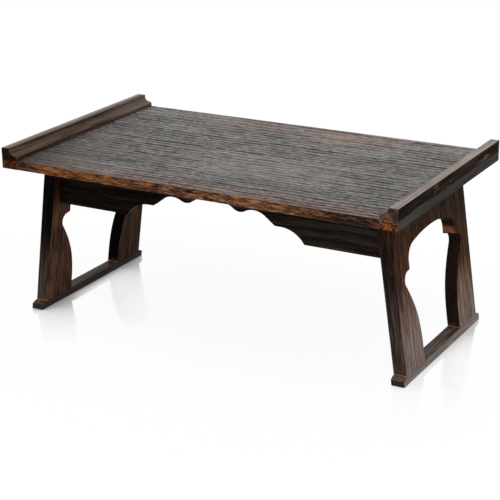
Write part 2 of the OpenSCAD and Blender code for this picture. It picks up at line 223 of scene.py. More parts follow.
ALONG_X = (0, 0, 0)
ALONG_Y = (0, 0, -math.pi / 2)


def along_leg(side):
    """Turn that lays a leg's slope along the grain."""
    return (0, math.pi / 2 + side * splay, 0)


# Each wood's turn, pith line, spacing of the rings, wander and brushed depth
WOODS = {
    "board": Wood(ALONG_X, (0.35, -0.01), 8.6 * MM, 0.7, 0.40 * MM),
    "batten": Wood(ALONG_Y, (0.10, 0.02), 4.0 * MM, 1.0, 0.05 * MM),
    "rail": Wood(ALONG_Y, (0.16, 0.12), 3.6 * MM, 1.0, 0.06 * MM),
    "apron": Wood(ALONG_X, (0.35, 0.02), 5.0 * MM, 1.0, 0.16 * MM),
    "right_leg": Wood(along_leg(1), (-0.60, -0.10), 4.2 * MM, 1.2, 0.16 * MM),
    "left_leg": Wood(along_leg(-1), (-0.55, 0.16), 4.2 * MM, 1.2, 0.16 * MM),
    "foot": Wood(ALONG_Y, (0.20, 0.16), 3.6 * MM, 1.0, 0.08 * MM),
    "under": Wood(ALONG_Y, (0.10, 0.50), 4.5 * MM, 1.0, 0.08 * MM),
}


# Surfaces


# Places of points on half a rounded corner, from 0 at its middle to 1 at the flat
CORNER_MARKS = np.array([0, 1 / 3, 2 / 3, 1])
# How many points a side has besides those spread over its middle
CORNER_POINTS = 2 * len(CORNER_MARKS) + 1
# Turns of the rings that round an end off
END_TURNS = np.radians([0, 30, 60])
# How fast a point's gap to the corners grows over the middle of a side
MIDDLE_GAP = 20 * MM
# The brush takes this share less at an arris
ARRIS_HOLD = 0.9
# An end wears over this many quads from its rim
RIM_QUADS = 4
# Points that are closer than this become one
WELD = 1e-7
# Added to a length, and to an area, before it divides, so that it is never nothing
TINY_LENGTH = 1e-12
TINY_AREA = 1e-15


def side_points(start, end, before, after, r0, r1, middle):
    """Points along one side of a section, its last one left out.

    start, end: (stations, 2) corners. before, after: unit directions away from those corners along
    the neighbouring sides. Near a corner the points lie on a quarter round of radius r0 or r1, and
    between the corners they are spread evenly. Returns the points and their distances from a
    corner.
    """
    run = end - start
    length = np.linalg.norm(run, axis=-1, keepdims=True)
    unit = run / length
    columns = []
    gaps = []

    def rounded(corner, along, other, r, share):
        angle = (1 - share) * math.pi / 4
        centre = corner + r * (along + other)
        return centre - r * (math.cos(angle) * other + math.sin(angle) * along)

    for share in CORNER_MARKS:
        columns.append(rounded(start, unit, before, r0, share))
        gaps.append(share * r0)
    inner0 = r0 + ARRIS_BAND
    inner1 = r1 + ARRIS_BAND
    for share in np.linspace(0, 1, middle + 2):
        columns.append(start + unit * (inner0 + share * (length - inner0 - inner1)))
        gaps.append(ARRIS_BAND + min(share, 1 - share) * MIDDLE_GAP)
    for share in CORNER_MARKS[:0:-1]:
        columns.append(rounded(end, -unit, after, r1, share))
        gaps.append(share * r1)
    return np.stack(columns, axis=1), np.array(gaps)


def section_ring(corners, radii, long_side, short_side):
    """Rounded four-sided rings through (stations, 4, 2) corners, and each point's gap to a
    corner."""
    unit = np.roll(corners, -1, axis=1) - corners
    unit /= np.linalg.norm(unit, axis=-1, keepdims=True)
    rings = []
    gaps = []
    for k in range(4):
        n = (k + 1) % 4
        points, gap = side_points(corners[:, k], corners[:, n], -unit[:, k - 1], unit[:, n],
                                  radii[k], radii[n], long_side if k % 2 == 0 else short_side)
        rings.append(points)
        gaps.append(gap)
    return np.concatenate(rings, axis=1), np.concatenate(gaps)


def cuts_of(long_side, short_side):
    """Ring numbers at which a section's four sides start."""
    a = long_side + CORNER_POINTS
    b = short_side + CORNER_POINTS
    return 0, a, a + b, 2 * a + b


def inward(ring):
    """Unit directions into a closed 2-D ring at each of its points."""
    tangent = np.roll(ring, -1, axis=0) - np.roll(ring, 1, axis=0)
    normal = np.stack([-tangent[:, 1], tangent[:, 0]], axis=1)
    normal /= np.linalg.norm(normal, axis=1, keepdims=True) + TINY_LENGTH
    x, y = ring[:, 0], ring[:, 1]
    area = np.sum(x * np.roll(y, -1) - y * np.roll(x, -1))
    return normal if area > 0 else -normal


def round_ends(t, rings, r):
    """Adds rings that round both ends off: each is drawn in by r(1 - sin a) at r(1 - cos a) from
    the end."""
    ahead = [rings[0] + inward(rings[0]) * r * (1 - math.sin(a)) for a in END_TURNS]
    behind = [rings[-1] + inward(rings[-1]) * r * (1 - math.sin(a)) for a in END_TURNS[::-1]]
    way = np.sign(t[-1] - t[0])
    t_ahead = [t[0] - way * r * math.cos(a) for a in END_TURNS]
    t_behind = [t[-1] + way * r * math.cos(a) for a in END_TURNS[::-1]]
    return np.concatenate([t_ahead, t, t_behind]), np.concatenate([ahead, rings, behind])


def vertex_normals(grid):
    """Normals of a (stations, ring) grid of points: the cross product of its two tangents."""
    along = np.gradient(grid, axis=0)
    around = np.roll(grid, -1, axis=1) - np.roll(grid, 1, axis=1)
    normal = np.cross(around, along)
    return normal / (np.linalg.norm(normal, axis=-1, keepdims=True) + TINY_AREA)


def end_patch(ring, cuts):
    """Coons patch over a closed ring that is cut into four chains: the sum of the two ruled
    surfaces between facing chains, less the bilinear one through the corners."""
    a, b, c, d = cuts
    low = ring[a:b + 1]
    right = ring[b:c + 1]
    high = ring[c:d + 1][::-1]
    left = np.concatenate([ring[d:], ring[:1]])[::-1]

    def places(chain):
        lengths = np.linalg.norm(np.diff(chain, axis=0), axis=1)
        return np.concatenate([[0], np.cumsum(lengths)]) / lengths.sum()

    u = ((places(low) + places(high)) / 2)[None, :, None]
    v = ((places(left) + places(right)) / 2)[:, None, None]
    ruled = (1 - v) * low[None] + v * high[None] + (1 - u) * left[:, None] + u * right[:, None]
    corners = ((1 - u) * (1 - v) * low[0] + u * (1 - v) * low[-1]
               + (1 - u) * v * high[0] + u * v * high[-1])
    return ruled - corners


def grid_faces(rows, columns, start, wrap):
    """Quads over a grid of vertices numbered row by row, joined round in the columns when wrap is
    set."""
    cells = columns if wrap else columns - 1
    i, j = np.meshgrid(np.arange(rows - 1), np.arange(cells), indexing="ij")
    k = (j + 1) % columns
    here, ahead = i * columns, (i + 1) * columns
    return np.stack([here + j, here + k, ahead + k, ahead + j], -1).reshape(-1, 4) + start


def enclosed(points, quads):
    """Six times the signed volume inside closed quads: the sum of the triple products of their
    triangles' corners, seen from the middle."""
    p = points - points.mean(0)
    a, b, c, d = (p[quads[:, k]] for k in range(4))
    return np.sum(a * (np.cross(b, c) + np.cross(c, d)))


def new_object(name, points, faces):
    """A mesh object of these points and faces, in the scene."""
    mesh = bpy.data.meshes.new(name)
    mesh.from_pydata(points, [], faces)
    obj = bpy.data.objects.new(name, mesh)
    bpy.context.scene.collection.objects.link(obj)
    return obj


def closed_mesh(name, points, quads, fields):
    """Object of these quads and vertex fields, with equal vertices merged so that the seams
    close."""
    key = np.round(points / WELD).astype(np.int64)
    _, first, same = np.unique(key, axis=0, return_index=True, return_inverse=True)
    quads = same.reshape(-1)[quads]
    # A quad with two equal corners is a triangle
    faces = []
    for quad in quads.tolist():
        kept = [v for k, v in enumerate(quad) if v != quad[k - 1]]
        if len(kept) > 2:
            faces.append(kept)
    obj = new_object(name, points[first], faces)
    for field, values in fields.items():
        attribute = obj.data.attributes.new(field, "FLOAT", "POINT")
        attribute.data.foreach_set("value", values[first].astype(np.float32))
    obj.data.shade_smooth()
    return obj


def solid(name, grid, gaps, cuts, wood, bare_ends=False):
    """Closed object from a (stations, ring, 3) grid: its skin, brushed in by up to the wood's
    relief, and a patch on each end. Its arris field runs from 1 on an edge to 0 on a face."""
    rows, columns = grid.shape[:2]
    normal = vertex_normals(grid)
    middle = grid.mean(axis=(0, 1))
    if np.sum(normal * (grid - middle)) < 0:
        normal = -normal
    run = np.linalg.norm(grid.mean(axis=1) - grid[0].mean(0), axis=-1)
    to_end = np.minimum(run, run[-1] - run)
    end_edge = np.exp(-(to_end / ARRIS_BAND) ** 2)[:, None]
    side_edge = np.exp(-(gaps / ARRIS_BAND) ** 2)[None, :]
    any_edge = np.maximum(end_edge, side_edge)
    arris = np.ones((rows, columns)) * side_edge if bare_ends else any_edge
    depth = wood.relief * wood.valleys(grid) * (1 - any_edge * ARRIS_HOLD)
    low, high = grid.min((0, 1)), grid.max((0, 1))
    grid = np.clip(grid - normal * depth[..., None], low, high)
    points = [grid.reshape(-1, 3)]
    edges = [arris.ravel()]
    quads = [grid_faces(rows, columns, start=0, wrap=True)]
    count = rows * columns
    for row, flip in ((0, True), (rows - 1, False)):
        patch = np.clip(end_patch(grid[row], cuts), low, high)
        h, w = patch.shape[:2]
        rim = np.minimum(np.minimum(np.arange(h), np.arange(h)[::-1])[:, None],
                         np.minimum(np.arange(w), np.arange(w)[::-1])[None, :])
        quad = grid_faces(h, w, start=count, wrap=False)
        quads.append(quad[:, ::-1] if flip else quad)
        points.append(patch.reshape(-1, 3))
        wear_and_sheen = np.zeros((h, w)) if bare_ends else np.maximum(1 - rim / RIM_QUADS, 0)
        edges.append(wear_and_sheen.ravel())
        count += h * w
    points = np.concatenate(points)
    quads = np.concatenate(quads)
    if enclosed(points, quads) < 0:
        quads = quads[:, ::-1]
    fields = {"arris": np.concatenate(edges), "valley": wood.valleys(points)}
    return closed_mesh(name, points, quads, fields)


def carried(name, t, corners, place, wood, long_side, short_side, radii=(ARRIS_R,) * 4,
            end_r=END_R, bare_ends=False):
    """A piece whose section follows corners from station to station t, with both ends rounded.
    place turns (stations, ring) arrays t, p and q into points. long_side and short_side are how
    many points are spread over the middle of the section's sides."""
    rings, gaps = section_ring(corners, radii, long_side, short_side)
    if end_r:
        t, rings = round_ends(t, rings, end_r)
    grid = place(np.broadcast_to(t[:, None], rings.shape[:2]), rings[..., 0], rings[..., 1])
    return solid(name, grid, gaps, cuts_of(long_side, short_side), wood, bare_ends)


def rectangle(low_p, high_p, low_q, high_q, count):
    """(count, 4, 2) corners of a rectangle, from numbers or from one value for each station."""
    sides = (low_p, high_p, low_q, high_q)
    low_p, high_p, low_q, high_q = (np.broadcast_to(side, count) for side in sides)
    return np.stack([np.stack([low_p, low_q], -1), np.stack([high_p, low_q], -1),
                     np.stack([high_p, high_q], -1), np.stack([low_p, high_q], -1)], axis=1)


def show(piece, node, body, material):
    """Lets a piece stand for its frame node, on its body, in its material."""
    piece.data.materials.append(material)
    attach(piece, body)
    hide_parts(node)


# Outlines


def arc(centre, r, a0, a1, steps):
    """Points on an arc about a centre."""
    a = np.linspace(a0, a1, steps + 1)
    return np.stack([centre[0] + r * np.cos(a), centre[1] + r * np.sin(a)], axis=1)


def window_outline():
    """Half the window: points (half width, distance down the leg) from the crown's joint to the
    foot. A shoulder arc, a cusp, a round lobe and a cubic curve that ends upright."""
    down = 1 / math.cos(splay)
    neck = leg_half - POST_NECK
    shoulder = np.array([neck - WIN_SHOULDER_R,
                         (WIN_CROWN + WIN_CROWN_DROP) * down + WIN_SHOULDER_R])
    start = math.acos((win_foot - shoulder[0]) / WIN_SHOULDER_R)
    blunt_x, blunt_y = WIN_CUSP_BLUNT
    cusp = [[neck, WIN_CUSP * down - blunt_y], [neck + blunt_x, WIN_CUSP * down]]
    lobe = np.array([neck + WIN_LOBE_OVER, WIN_CUSP * down + WIN_LOBE_R + WIN_TIP])
    flank = lobe + WIN_LOBE_R * np.array([math.cos(WIN_FLANK), math.sin(WIN_FLANK)])
    foot = np.array([win_foot, WIN_UPRIGHT * down])
    hand = (foot[1] - flank[1]) * WIN_FLANK_PULL
    handle0 = flank + hand * np.array([-math.sin(WIN_FLANK), math.cos(WIN_FLANK)])
    handle1 = foot - np.array([0, hand])
    s = np.linspace(0, 1, num=29)[1:, None]
    curve = ((1 - s) ** 3 * flank + 3 * (1 - s) ** 2 * s * handle0 + 3 * (1 - s) * s ** 2 * handle1
             + s ** 3 * foot)
    return np.concatenate([arc(shoulder, WIN_SHOULDER_R, -start, 0, steps=14), cusp,
                           arc(lobe, WIN_LOBE_R, -math.pi / 2, WIN_FLANK, steps=18), curve])


def hollow_radius(run, rise):
    """Radius of a hollow that runs on from a tooth's tip and ends level, this far away and this
    much higher."""
    return (run ** 2 + (rise - TOOTH_R) ** 2 - TOOTH_R ** 2) / (2 * rise)


def apron_outline():
    """Lower edge of an apron's right half, as points (distance from the middle, height of the
    apron): a hollow, a round tooth, a hollow, a lobe that ends in a slope, a cusp and a bracket's
    quarter round."""
    (tooth_x, tooth_y), (lobe_x, lobe_y), (bracket_x, bracket_y) = TOOTH, SIDE_LOBE, BRACKET
    mid_r = hollow_radius(tooth_x, tooth_y - APRON_MID)
    mid_turn = math.asin(tooth_x / (mid_r + TOOTH_R))
    in_r = hollow_radius(lobe_x - tooth_x, tooth_y - lobe_y)
    in_turn = math.asin((lobe_x - tooth_x) / (in_r + TOOTH_R))
    bracket = (bracket_x + BRACKET_RUN, bracket_y + BRACKET_R)
    bracket_turn = math.acos(1 - (apron_height - bracket_y) / BRACKET_R)
    up = -math.pi / 2
    return np.concatenate([
        arc((0, APRON_MID + mid_r), mid_r, up, up + mid_turn, steps=14),
        arc((tooth_x, tooth_y - TOOTH_R), TOOTH_R, mid_turn - up, -up - in_turn, steps=10)[1:],
        arc((lobe_x, lobe_y + in_r), in_r, up - in_turn, up, steps=8)[1:],
        arc((lobe_x, lobe_y + SIDE_LOBE_R), SIDE_LOBE_R, up, up + SIDE_LOBE_TURN, steps=10)[1:],
        [BRACKET],
        arc(bracket, BRACKET_R, up, up + bracket_turn, steps=14)])


def rail_outline():
    """An end rail's section, as a closed ring of points (distance from the table's middle, height),
    each point's gap to an arris, and the numbers at which the ring's four chains start. Its top
    line is level, drops to a cove that is a quarter round, and ends in a bevel and a lip."""
    r = ARRIS_R
    back = rail_low[0]
    high = rail_high[2]
    crest = end_x - RAIL_TOP_W
    lip = top_z + RAIL_LIP
    cove = (crest - RAIL_COVE_R, lip + RAIL_BEVEL + RAIL_COVE_R)
    level = np.linspace(end_x - r - ARRIS_BAND, crest + r + ARRIS_BAND, num=9)
    top = np.concatenate([
        arc((end_x - r, high - r), r, math.pi / 4, math.pi / 2, steps=2),
        np.stack([level, np.full(len(level), high)], 1),
        arc((crest + r, high - r), r, math.pi / 2, math.pi, steps=4),
        arc(cove, RAIL_COVE_R, 0, -math.pi / 2, steps=12),
        arc((back + RAIL_LIP_R, lip - RAIL_LIP_SINK), RAIL_LIP_R, *RAIL_LIP_TURNS, steps=2)])
    count = len(top)
    low = np.stack([np.linspace(end_x, back, count), np.full(count, top_z)], 1)
    heights = 10
    outer = np.stack([np.full(heights, end_x), np.linspace(top_z, high - r, heights)], 1)
    inner = np.stack([np.full(heights, back), np.linspace(lip - r, top_z, heights)], 1)
    ring = np.concatenate([low[::-1][:-1], outer, top, inner[:-1]])
    gaps = np.full(len(ring), ARRIS_BAND * 2)
    for corner in ((end_x, high), (crest, high), (back, lip)):
        far = np.linalg.norm(ring - np.array(corner), axis=1)
        gaps = np.minimum(gaps, np.maximum(far - 0.5 * r, 0))
    return ring, gaps, (0, count - 1, count - 1 + heights, 2 * (count - 1) + heights)


# Pieces


def make_board(material):
    """The board: a rounded rectangle across the table, carried along X between the battens."""
    def place(t, p, q):
        return np.stack([t, p, q], -1)

    t = np.linspace(-joint_x, joint_x, num=195)
    corners = rectangle(-edge_y, edge_y, under_z, top_z, len(t))
    piece = carried("board", t, corners, place, WOODS["board"], long_side=190, short_side=4,
                    end_r=0, bare_ends=True)
    show(piece, "top_board", "frame", material)


def make_batten(side, material):
    """An end batten: a rounded rectangle carried along Y, nearly sharp where it meets the board and
    the end rail."""
    def place(t, p, q):
        return np.stack([ENDS[side] * p, t, q], -1)

    tight = BATTEN_FIT_R
    t = np.linspace(tight / 2 - edge_y, edge_y - tight / 2, num=120)
    corners = rectangle(joint_x, end_x, under_z, top_z, len(t))
    piece = carried(side + "_batten", t, corners, place, WOODS["batten"], long_side=24,
                    short_side=12, radii=(tight, ARRIS_R, tight, tight), end_r=tight / 2)
    show(piece, side + "_end_batten", "frame", material)


def make_rail(side, material):
    """An end rail: its moulded section carried along Y."""
    ring, gaps, cuts = rail_outline()
    t = np.linspace(RAIL_END_R - edge_y, edge_y - RAIL_END_R, num=130)
    t, rings = round_ends(t, np.broadcast_to(ring, (len(t),) + ring.shape), RAIL_END_R)
    grid = np.stack([ENDS[side] * rings[..., 0], np.broadcast_to(t[:, None], rings.shape[:2]),
                     rings[..., 1]], -1)
    piece = solid(side + "_rail", grid, gaps, cuts, WOODS["rail"])
    show(piece, side + "_end_rail", "frame", material)


def make_apron(facing, material):
    """An apron: a rounded rectangle whose height follows the sawn lower edge, carried along X. Its
    ends lean with the legs."""
    half = apron_outline()
    shoulder = half[-1, 0]
    last = apron_high[0] - apron_height * lean
    straight = np.linspace(shoulder, last - END_R, num=40)[1:]
    x = np.concatenate([half[:, 0], straight])
    height = np.concatenate([half[:, 1], np.full(len(straight), apron_height)])
    x = np.concatenate([-x[:0:-1], x])
    height = np.concatenate([height[:0:-1], height])
    inner, outer = sorted((abs(apron_low[1]), abs(apron_high[1])))
    corners = rectangle(0, height, inner, outer, len(x))

    def place(t, p, q):
        leaned = t + np.sign(t) * smooth(shoulder, last, np.abs(t)) * p * lean
        return np.stack([leaned, FACINGS[facing] * q, under_z - p], -1)

    piece = carried("sawn_" + facing + "_apron", x, corners, place, WOODS["apron"], long_side=26,
                    short_side=6)
    show(piece, facing + "_apron", "frame", material)


def on_leg(side, across, down, deep, level):
    """Points of a leg, down its slope from the board and deep behind its outer face. level is 1
    where a section is turned level, and 0 where it is square to the slope."""
    slope = down - level * deep * math.tan(splay)
    x = leg_out + slope * math.sin(splay) - deep * math.cos(splay)
    z = under_z - slope * math.cos(splay) - deep * math.sin(splay)
    return np.stack([ENDS[side] * x, across, z], -1)


def make_post(side, facing, material):
    """A post: a section across the leg, from the window's outline to the leg's edge, carried down
    the leg's slope. The first and last sections are turned level."""
    outline = window_outline()
    first, last = outline[0, 1], outline[-1, 1]
    above, below = POST_GAPS
    head = np.linspace(leg_head + POST_END_R, first - above, num=14)
    tail = np.linspace(last + below, leg_foot - POST_END_R, num=8)
    t = np.concatenate([head, outline[:, 1], tail])
    window = np.concatenate([np.full(len(head), win_foot), outline[:, 0],
                             np.full(len(tail), win_foot)])
    corners = rectangle(window, leg_half, 0, leg_thick, len(t))

    def place(t, p, q):
        level = np.maximum(1 - smooth(leg_head, first, t), smooth(last, leg_foot, t))
        return on_leg(side, FACINGS[facing] * p, t, q, level)

    name = f"{side}_{facing}_post"
    piece = carried("shaped_" + name, t, corners, place, WOODS[side + "_leg"], long_side=30,
                    short_side=10, end_r=POST_END_R)
    show(piece, name, side + "_leg", material)


def make_crown(side, material):
    """A leg's crown: a section from its level top to the window's shallow arc, carried across the
    leg."""
    arch = WIN_CROWN / math.cos(splay)
    sag = window_outline()[0, 1] - arch
    r = (win_foot ** 2 + sag ** 2) / (2 * sag)
    y = np.linspace(-win_foot, win_foot, num=61)
    low = arch + r - np.sqrt(r ** 2 - y ** 2)
    corners = rectangle(leg_head, low, 0, leg_thick, len(y))

    def place(t, p, q):
        return on_leg(side, t, p, q, 1 - smooth(leg_head, arch, p))

    piece = carried("arched_" + side + "_crown", y, corners, place, WOODS[side + "_leg"],
                    long_side=16, short_side=8, end_r=0, bare_ends=True)
    show(piece, side + "_crown", side + "_leg", material)


# The drums that cut the recesses, and the turn past which an edge is shaded sharp
DRUM_SIDES = 32
DRUM_LENGTH = 4 * MM
SHARP_TURN = math.radians(50)


def sink(piece, centres, way, r):
    """Cuts round recesses into a piece, each from its centre back out along a direction: rings of
    points r(cos a, sin a) across that direction, joined to a closed drum that is taken from the
    piece."""
    way = np.array(way)
    along = np.array([0, 1, 0])
    across = np.cross(way, along)
    a = np.linspace(0, 2 * math.pi, DRUM_SIDES + 1)[:-1]
    ring = r * (np.cos(a)[:, None] * across + np.sin(a)[:, None] * along)
    points = np.concatenate([centre + ring + way * back
                             for centre in centres for back in (0, DRUM_LENGTH)])
    faces = []
    for start in range(0, len(points), 2 * DRUM_SIDES):
        near = list(range(start, start + DRUM_SIDES))
        far = [v + DRUM_SIDES for v in near]
        faces += [near, far[::-1]]
        faces += [[near[k - 1], far[k - 1], far[k], near[k]] for k in [*range(1, DRUM_SIDES), 0]]
    drums = new_object("drums", points, faces)
    cut = piece.modifiers.new("recesses", "BOOLEAN")
    cut.operation = "DIFFERENCE"
    cut.solver = "EXACT"
    cut.object = drums
    evaluated = piece.evaluated_get(bpy.context.evaluated_depsgraph_get())
    shape = bpy.data.meshes.new_from_object(evaluated)
    piece.modifiers.remove(cut)
    piece.data = shape
    shape.set_sharp_from_angle(angle=SHARP_TURN)
    bpy.data.objects.remove(drums)


def leaning(side, t, p, q):
    """A level section that leans with the leg: p runs from its inner to its outer face, q is
    depth."""
    return np.stack([ENDS[side] * (leg_out + q * lean - leg_level + p), t, under_z - q], -1)


def make_foot(side, material):
    """A foot rail: a leaning section carried across the leg, lower at the chamfered ends."""
    half = foot_high[1]
    long, drop = FOOT_CHAMFER
    y = np.concatenate([np.linspace(END_R - half, long - half, num=7),
                        np.linspace(long - half, 0, num=60)[1:]])
    y = np.concatenate([y, -y[-2::-1]])
    rise = np.clip((half - np.abs(y)) / long, 0, 1)
    height = foot_top - drop * (1 - rise)
    corners = rectangle(0, leg_level, under_z - height, under_z, len(y))
    piece = carried(side + "_foot", y, corners, partial(leaning, side), WOODS["foot"],
                    long_side=16, short_side=8)
    # Two screws for each post, either side of its middle
    middle = (win_foot + leg_half) / 2
    screw_x = ENDS[side] * (foot_high[0] - leg_level / 2 - FOOT_SCREW_SINK * lean)
    centres = [(screw_x, facing * (middle + apart * FOOT_SCREW_PITCH / 2), FOOT_SCREW_SINK)
               for facing in FACINGS.values() for apart in (-1, 1)]
    sink(piece, centres, (ENDS[side] * math.sin(splay), 0, -math.cos(splay)), FOOT_SCREW_R)
    show(piece, side + "_foot_rail", side + "_leg", material)


def make_bearer(side, material):
    """A bearer: a leaning section under the board, carried across the leg."""
    half = bearer_high[1]
    y = np.linspace(BEARER_R / 2 - half, half - BEARER_R / 2, num=70)
    gap = leg_out - leg_level - bearer_low[0]
    corners = rectangle(-gap, leg_level, 0, under_z - bearer_low[2], len(y))
    piece = carried("leaning_" + side + "_bearer", y, corners, partial(leaning, side),
                    WOODS["under"], long_side=16, short_side=10, radii=(BEARER_R,) * 4,
                    end_r=BEARER_R / 2)
    show(piece, side + "_bearer", "frame", material)


# Shader nodes


class Value:
    """What a node puts out: a number, a colour, a direction or a shader. Numbers add, subtract and
    multiply through Math nodes."""

    def __init__(self, socket):
        self.socket = socket
        self.tree = socket.id_data

    def __add__(self, other):
        return calc("ADD", self, other)

    def __sub__(self, other):
        return calc("SUBTRACT", self, other)

    def __rsub__(self, other):
        return calc("SUBTRACT", other, self)

    def __mul__(self, other):
        return calc("MULTIPLY", self, other)

    def __abs__(self):
        return calc("ABSOLUTE", self)


def feed(socket, value):
    """Links a value to a node's input, or sets the input to a constant. None leaves it as it is."""
    if isinstance(value, Value):
        value.tree.links.new(value.socket, socket)
    elif value is not None:
        socket.default_value = value


def add(kind, inputs=(), tree=None, **settings):
    """A node with its settings and inputs, by number or name. It goes into the tree of its linked
    inputs, unless a tree is given."""
    inputs = dict(inputs if isinstance(inputs, dict) else enumerate(inputs))
    if tree is None:
        tree = next(value.tree for value in inputs.values() if isinstance(value, Value))
    node = tree.nodes.new(kind)
    for key, value in settings.items():
        setattr(node, key, value)
    for key, value in inputs.items():
        feed(node.inputs[key], value)
    return node


def made(kind, inputs=(), output=0, tree=None, **settings):
    """One output of a new node."""
    return Value(add(kind, inputs, tree, **settings).outputs[output])


def outs(node):
    """A node's outputs by name."""
    return {socket.name: Value(socket) for socket in node.outputs}


def calc(operation, *values, clamp=False):
    """Result of a Math node."""
    return made("ShaderNodeMath", values, operation=operation, use_clamp=clamp)


def scaled(value, factor, offset, clamp=False):
    """A value times a factor, plus an offset."""
    return calc("MULTIPLY_ADD", value, factor, offset, clamp=clamp)


def larger(a, b):
    """The larger of two values."""
    return calc("MAXIMUM", a, b)


def step(value, low, high, to_low=0.0, to_high=1.0):
    """Smooth step of a value between two others."""
    return made("ShaderNodeMapRange", (value, low, high, to_low, to_high),
                interpolation_type="SMOOTHSTEP")


def blend(share, a, b, mode="MIX"):
    """Mix of two colours: the first one at a share of 0, the second one at 1."""
    return made("ShaderNodeMix", {0: share, 6: a, 7: b}, output=2, data_type="RGBA",
                blend_type=mode)


def noise(vector, scale, detail=3, rough=0.6):
    """Noise between 0 and 1."""
    return made("ShaderNodeTexNoise", {"Vector": vector, "Scale": scale, "Detail": detail,
                                       "Roughness": rough}, noise_dimensions="3D")


def grained(vector, sizes, detail=3, rough=0.6, scale=1.0):
    """Noise stretched along the grain: each of its coordinates is multiplied by its size first."""
    sized = made("ShaderNodeVectorMath", (vector, sizes), operation="MULTIPLY")
    return noise(sized, scale, detail, rough)


def parts_of(vector):
    """The three parts of a vector."""
    return list(outs(add("ShaderNodeSeparateXYZ", (vector,))).values())


def attribute(tree, name):
    """A number that the mesh keeps at each of its points."""
    return made("ShaderNodeAttribute", output="Fac", tree=tree, attribute_name=name)


def srgb(red, green, blue):
    """Linear colour of an sRGB colour given from 0 to 255."""
    def linear(c):
        c = c / 255
        return c / 12.92 if c <= 0.04045 else ((c + 0.055) / 1.055) ** 2.4
    return (linear(red), linear(green), linear(blue), 1)


# Where a row of tones begins on its ramp, and how far it runs
TONES_START = 0.08
TONES_RUN = 0.84


def ramp(value, stops):
    """Colour ramp through (place, colour) stops."""
    node = add("ShaderNodeValToRGB", (value,))
    elements = node.color_ramp.elements
    while len(elements) < len(stops):
        elements.new(0.5)
    for element, (place, colour) in zip(elements, stops):
        element.position = place
        element.color = colour
    return Value(node.outputs[0])


def tones(value, *colours):
    """Ramp through evenly spread sRGB colours, from the darkest to the lightest."""
    last = len(colours) - 1
    return ramp(value, [(TONES_START + TONES_RUN * k / last, srgb(*colour))
                        for k, colour in enumerate(colours)])


def new_group(name, inputs, work):
    """A node group. inputs gives each input's name and number, or None for a vector, and work turns
    the inputs into the group's results by name, which are numbers."""
    tree = bpy.data.node_groups.new(name, "ShaderNodeTree")
    for key, value in inputs.items():
        kind = "NodeSocketVector" if value is None else "NodeSocketFloat"
        feed(tree.interface.new_socket(key, in_out="INPUT", socket_type=kind), value)
    results = work(outs(add("NodeGroupInput", tree=tree)))
    for key in results:
        tree.interface.new_socket(key, in_out="OUTPUT", socket_type="NodeSocketFloat")
    add("NodeGroupOutput", results, tree)
    return tree


def use_group(group, **inputs):
    """Outputs of a group, placed in the tree of its inputs. An underscore in a name is a space."""
    inputs = {key.replace("_", " "): value for key, value in inputs.items()}
    return outs(add("ShaderNodeGroup", inputs, node_tree=group))


def growth_rings(given):
    """Growth rings round a pith line: the late wood at each ring's end, and each ring's own
    tone."""
    vector = given["Vector"]
    bend = 0.0
    for pull, k, phase in WAVES:
        turn = made("ShaderNodeVectorMath", (vector, k), output="Value", operation="DOT_PRODUCT")
        bend = scaled(calc("SINE", turn + phase), pull, bend)
    _, across, deep = parts_of(vector)
    across = across - given["Pith Across"] + bend
    deep = deep - given["Pith Deep"] + bend
    turns = calc("DIVIDE", calc("SQRT", across * across + deep * deep), given["Spacing"])
    part = calc("FRACT", turns)
    tone = made("ShaderNodeTexWhiteNoise", {"W": calc("FLOOR", turns)}, noise_dimensions="1D")
    return {"Late": step(part, 0.35, 0.86) * step(part, 0.92, 1.0, 1.0, 0.0), "Tone": tone}


def fibres(given):
    """Fibres: fine streaks along the grain, short dark pores, soft clouds of tone, small flecks and
    short grit."""
    vector = given["Vector"]
    fineness = given["Fineness"]
    fine = grained(vector, (16, 620, 620), scale=fineness)
    broad = grained(vector, (9, 260, 260), scale=fineness)
    dashes = grained(vector, (70, 1200, 1200), detail=2, rough=0.5, scale=fineness)
    fleck = grained(vector, (75, 470, 470), rough=0.7, scale=fineness)
    grit = grained(vector, (120, 210, 210), detail=2, rough=0.7, scale=fineness)
    return {"Streak": step(fine * 0.5 + broad * 0.5, 0.36, 0.64), "Pore": step(dashes, 0.55, 0.66),
            "Cloud": grained(vector, (7, 16, 16), rough=0.5), "Fleck": step(fleck, 0.38, 0.64),
            "Grit": step(grit, 0.30, 0.70)}


def arris_wear(given):
    """Rubbed arrises: the arris field, broken up along the edge."""
    patches = grained(given["Vector"], (28, 60, 60), detail=4, rough=0.65)
    specks = grained(given["Vector"], (240, 700, 700))
    limit = 0.74 - given["Amount"] * 0.4
    mask = step(patches * 0.7 + specks * 0.3, limit, limit + 0.14)
    return {"Wear": mask * step(attribute(mask.tree, "arris"), 0.25, 0.95)}


def facings(given):
    """Which way a face looks: up, down, out past the table's ends, to the front or back, and back
    to the middle."""
    x, y, _ = parts_of(given["Place"])
    to_x, to_y, to_z = parts_of(given["Normal"])
    return {"Up": step(to_z, 0.8, 0.95), "Down": step(to_z, -0.8, -0.95),
            "Out": step(to_x * calc("SIGN", x), 0.6, 0.9), "Side": step(abs(to_y), 0.5, 0.9),
            "Inside": step(to_y * calc("SIGN", y), -0.5, -0.8)}


GROWTH = new_group("growth rings", {"Vector": None, "Pith Across": 0.0, "Pith Deep": 0.0,
                                    "Spacing": 0.005}, growth_rings)
FIBRES = new_group("fibres", {"Vector": None, "Fineness": 1.0}, fibres)
RUBBED = new_group("arris wear", {"Vector": None, "Amount": 0.5}, arris_wear)
FACING = new_group("facing", {"Place": None, "Normal": None}, facings)


# Materials


